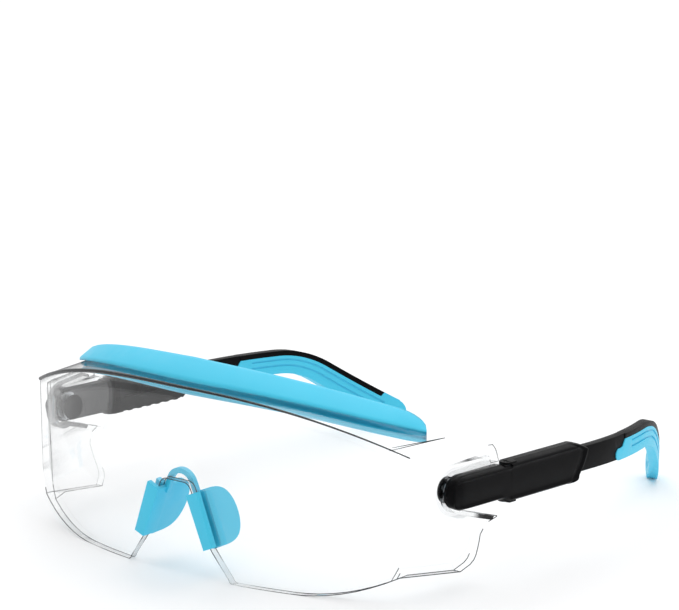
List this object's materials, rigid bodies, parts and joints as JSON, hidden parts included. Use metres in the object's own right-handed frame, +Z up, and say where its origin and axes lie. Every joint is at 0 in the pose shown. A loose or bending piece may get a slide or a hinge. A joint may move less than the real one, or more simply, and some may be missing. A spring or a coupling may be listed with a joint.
{
  "type": "safety glasses",
  "caption": "Over-glasses safety spectacles: one-piece clear shell with side shields, soft brow guard and nose piece, temples that tilt, fold and telescope.",
  "frame": {"origin": "bottom centre of the whole object at rest, on the surface that the shell's bottom edge and the temple tips stand on", "axes": "+Z up; the shell's front faces -Y and the temples point to +Y; +X is the wearer's left"},
  "size_m": [0.1694, 0.1766, 0.065],
  "materials": {
    "clear_lens": "gloss",
    "sky_soft": "satin",
    "black_plastic": "satin",
    "steel": "brushed"
  },
  "bodies": {
    "front": {"lens": "clear_lens", "brow_guard": "sky_soft", "nose_piece": "sky_soft"},
    "left_hinge": {"left_pivot_rivet": "black_plastic", "left_click_washer": "steel", "left_hinge_plate": "black_plastic", "left_hinge_cover": "black_plastic", "left_fold_pin": "steel"},
    "left_temple": {"left_sleeve": "black_plastic"},
    "left_slider": {"left_detent_leaf": "steel", "left_arm": "black_plastic", "left_tip": "sky_soft"},
    "right_hinge": {"right_pivot_rivet": "black_plastic", "right_click_washer": "steel", "right_hinge_plate": "black_plastic", "right_hinge_cover": "black_plastic", "right_fold_pin": "steel"},
    "right_temple": {"right_sleeve": "black_plastic"},
    "right_slider": {"right_detent_leaf": "steel", "right_arm": "black_plastic", "right_tip": "sky_soft"}
  },
  "joints": [
    {"name": "left_tilt", "type": "hinge", "parent": "front", "child": "left_hinge", "pos_m": [0.079, -0.05212, 0.0316], "axis": [1, 0, 0], "range_deg": [-12, 3]},
    {"name": "left_fold", "type": "hinge", "parent": "left_hinge", "child": "left_temple", "pos_m": [0.0809, -0.03025, 0.03053], "axis": [0, 0.0489, 0.9988], "range_deg": [0, 90]},
    {"name": "left_reach", "type": "slide", "parent": "left_temple", "child": "left_slider", "axis": [0, 0.9988, -0.0489], "range_m": [-0.0088, 0.0044]},
    {"name": "right_tilt", "type": "hinge", "parent": "front", "child": "right_hinge", "pos_m": [-0.079, -0.05212, 0.0316], "axis": [1, 0, 0], "range_deg": [-12, 3]},
    {"name": "right_fold", "type": "hinge", "parent": "right_hinge", "child": "right_temple", "pos_m": [-0.0809, -0.03025, 0.03053], "axis": [0, -0.0489, -0.9988], "range_deg": [0, 78]},
    {"name": "right_reach", "type": "slide", "parent": "right_temple", "child": "right_slider", "axis": [0, 0.9988, -0.0489], "range_m": [-0.0088, 0.0044]}
  ]
}
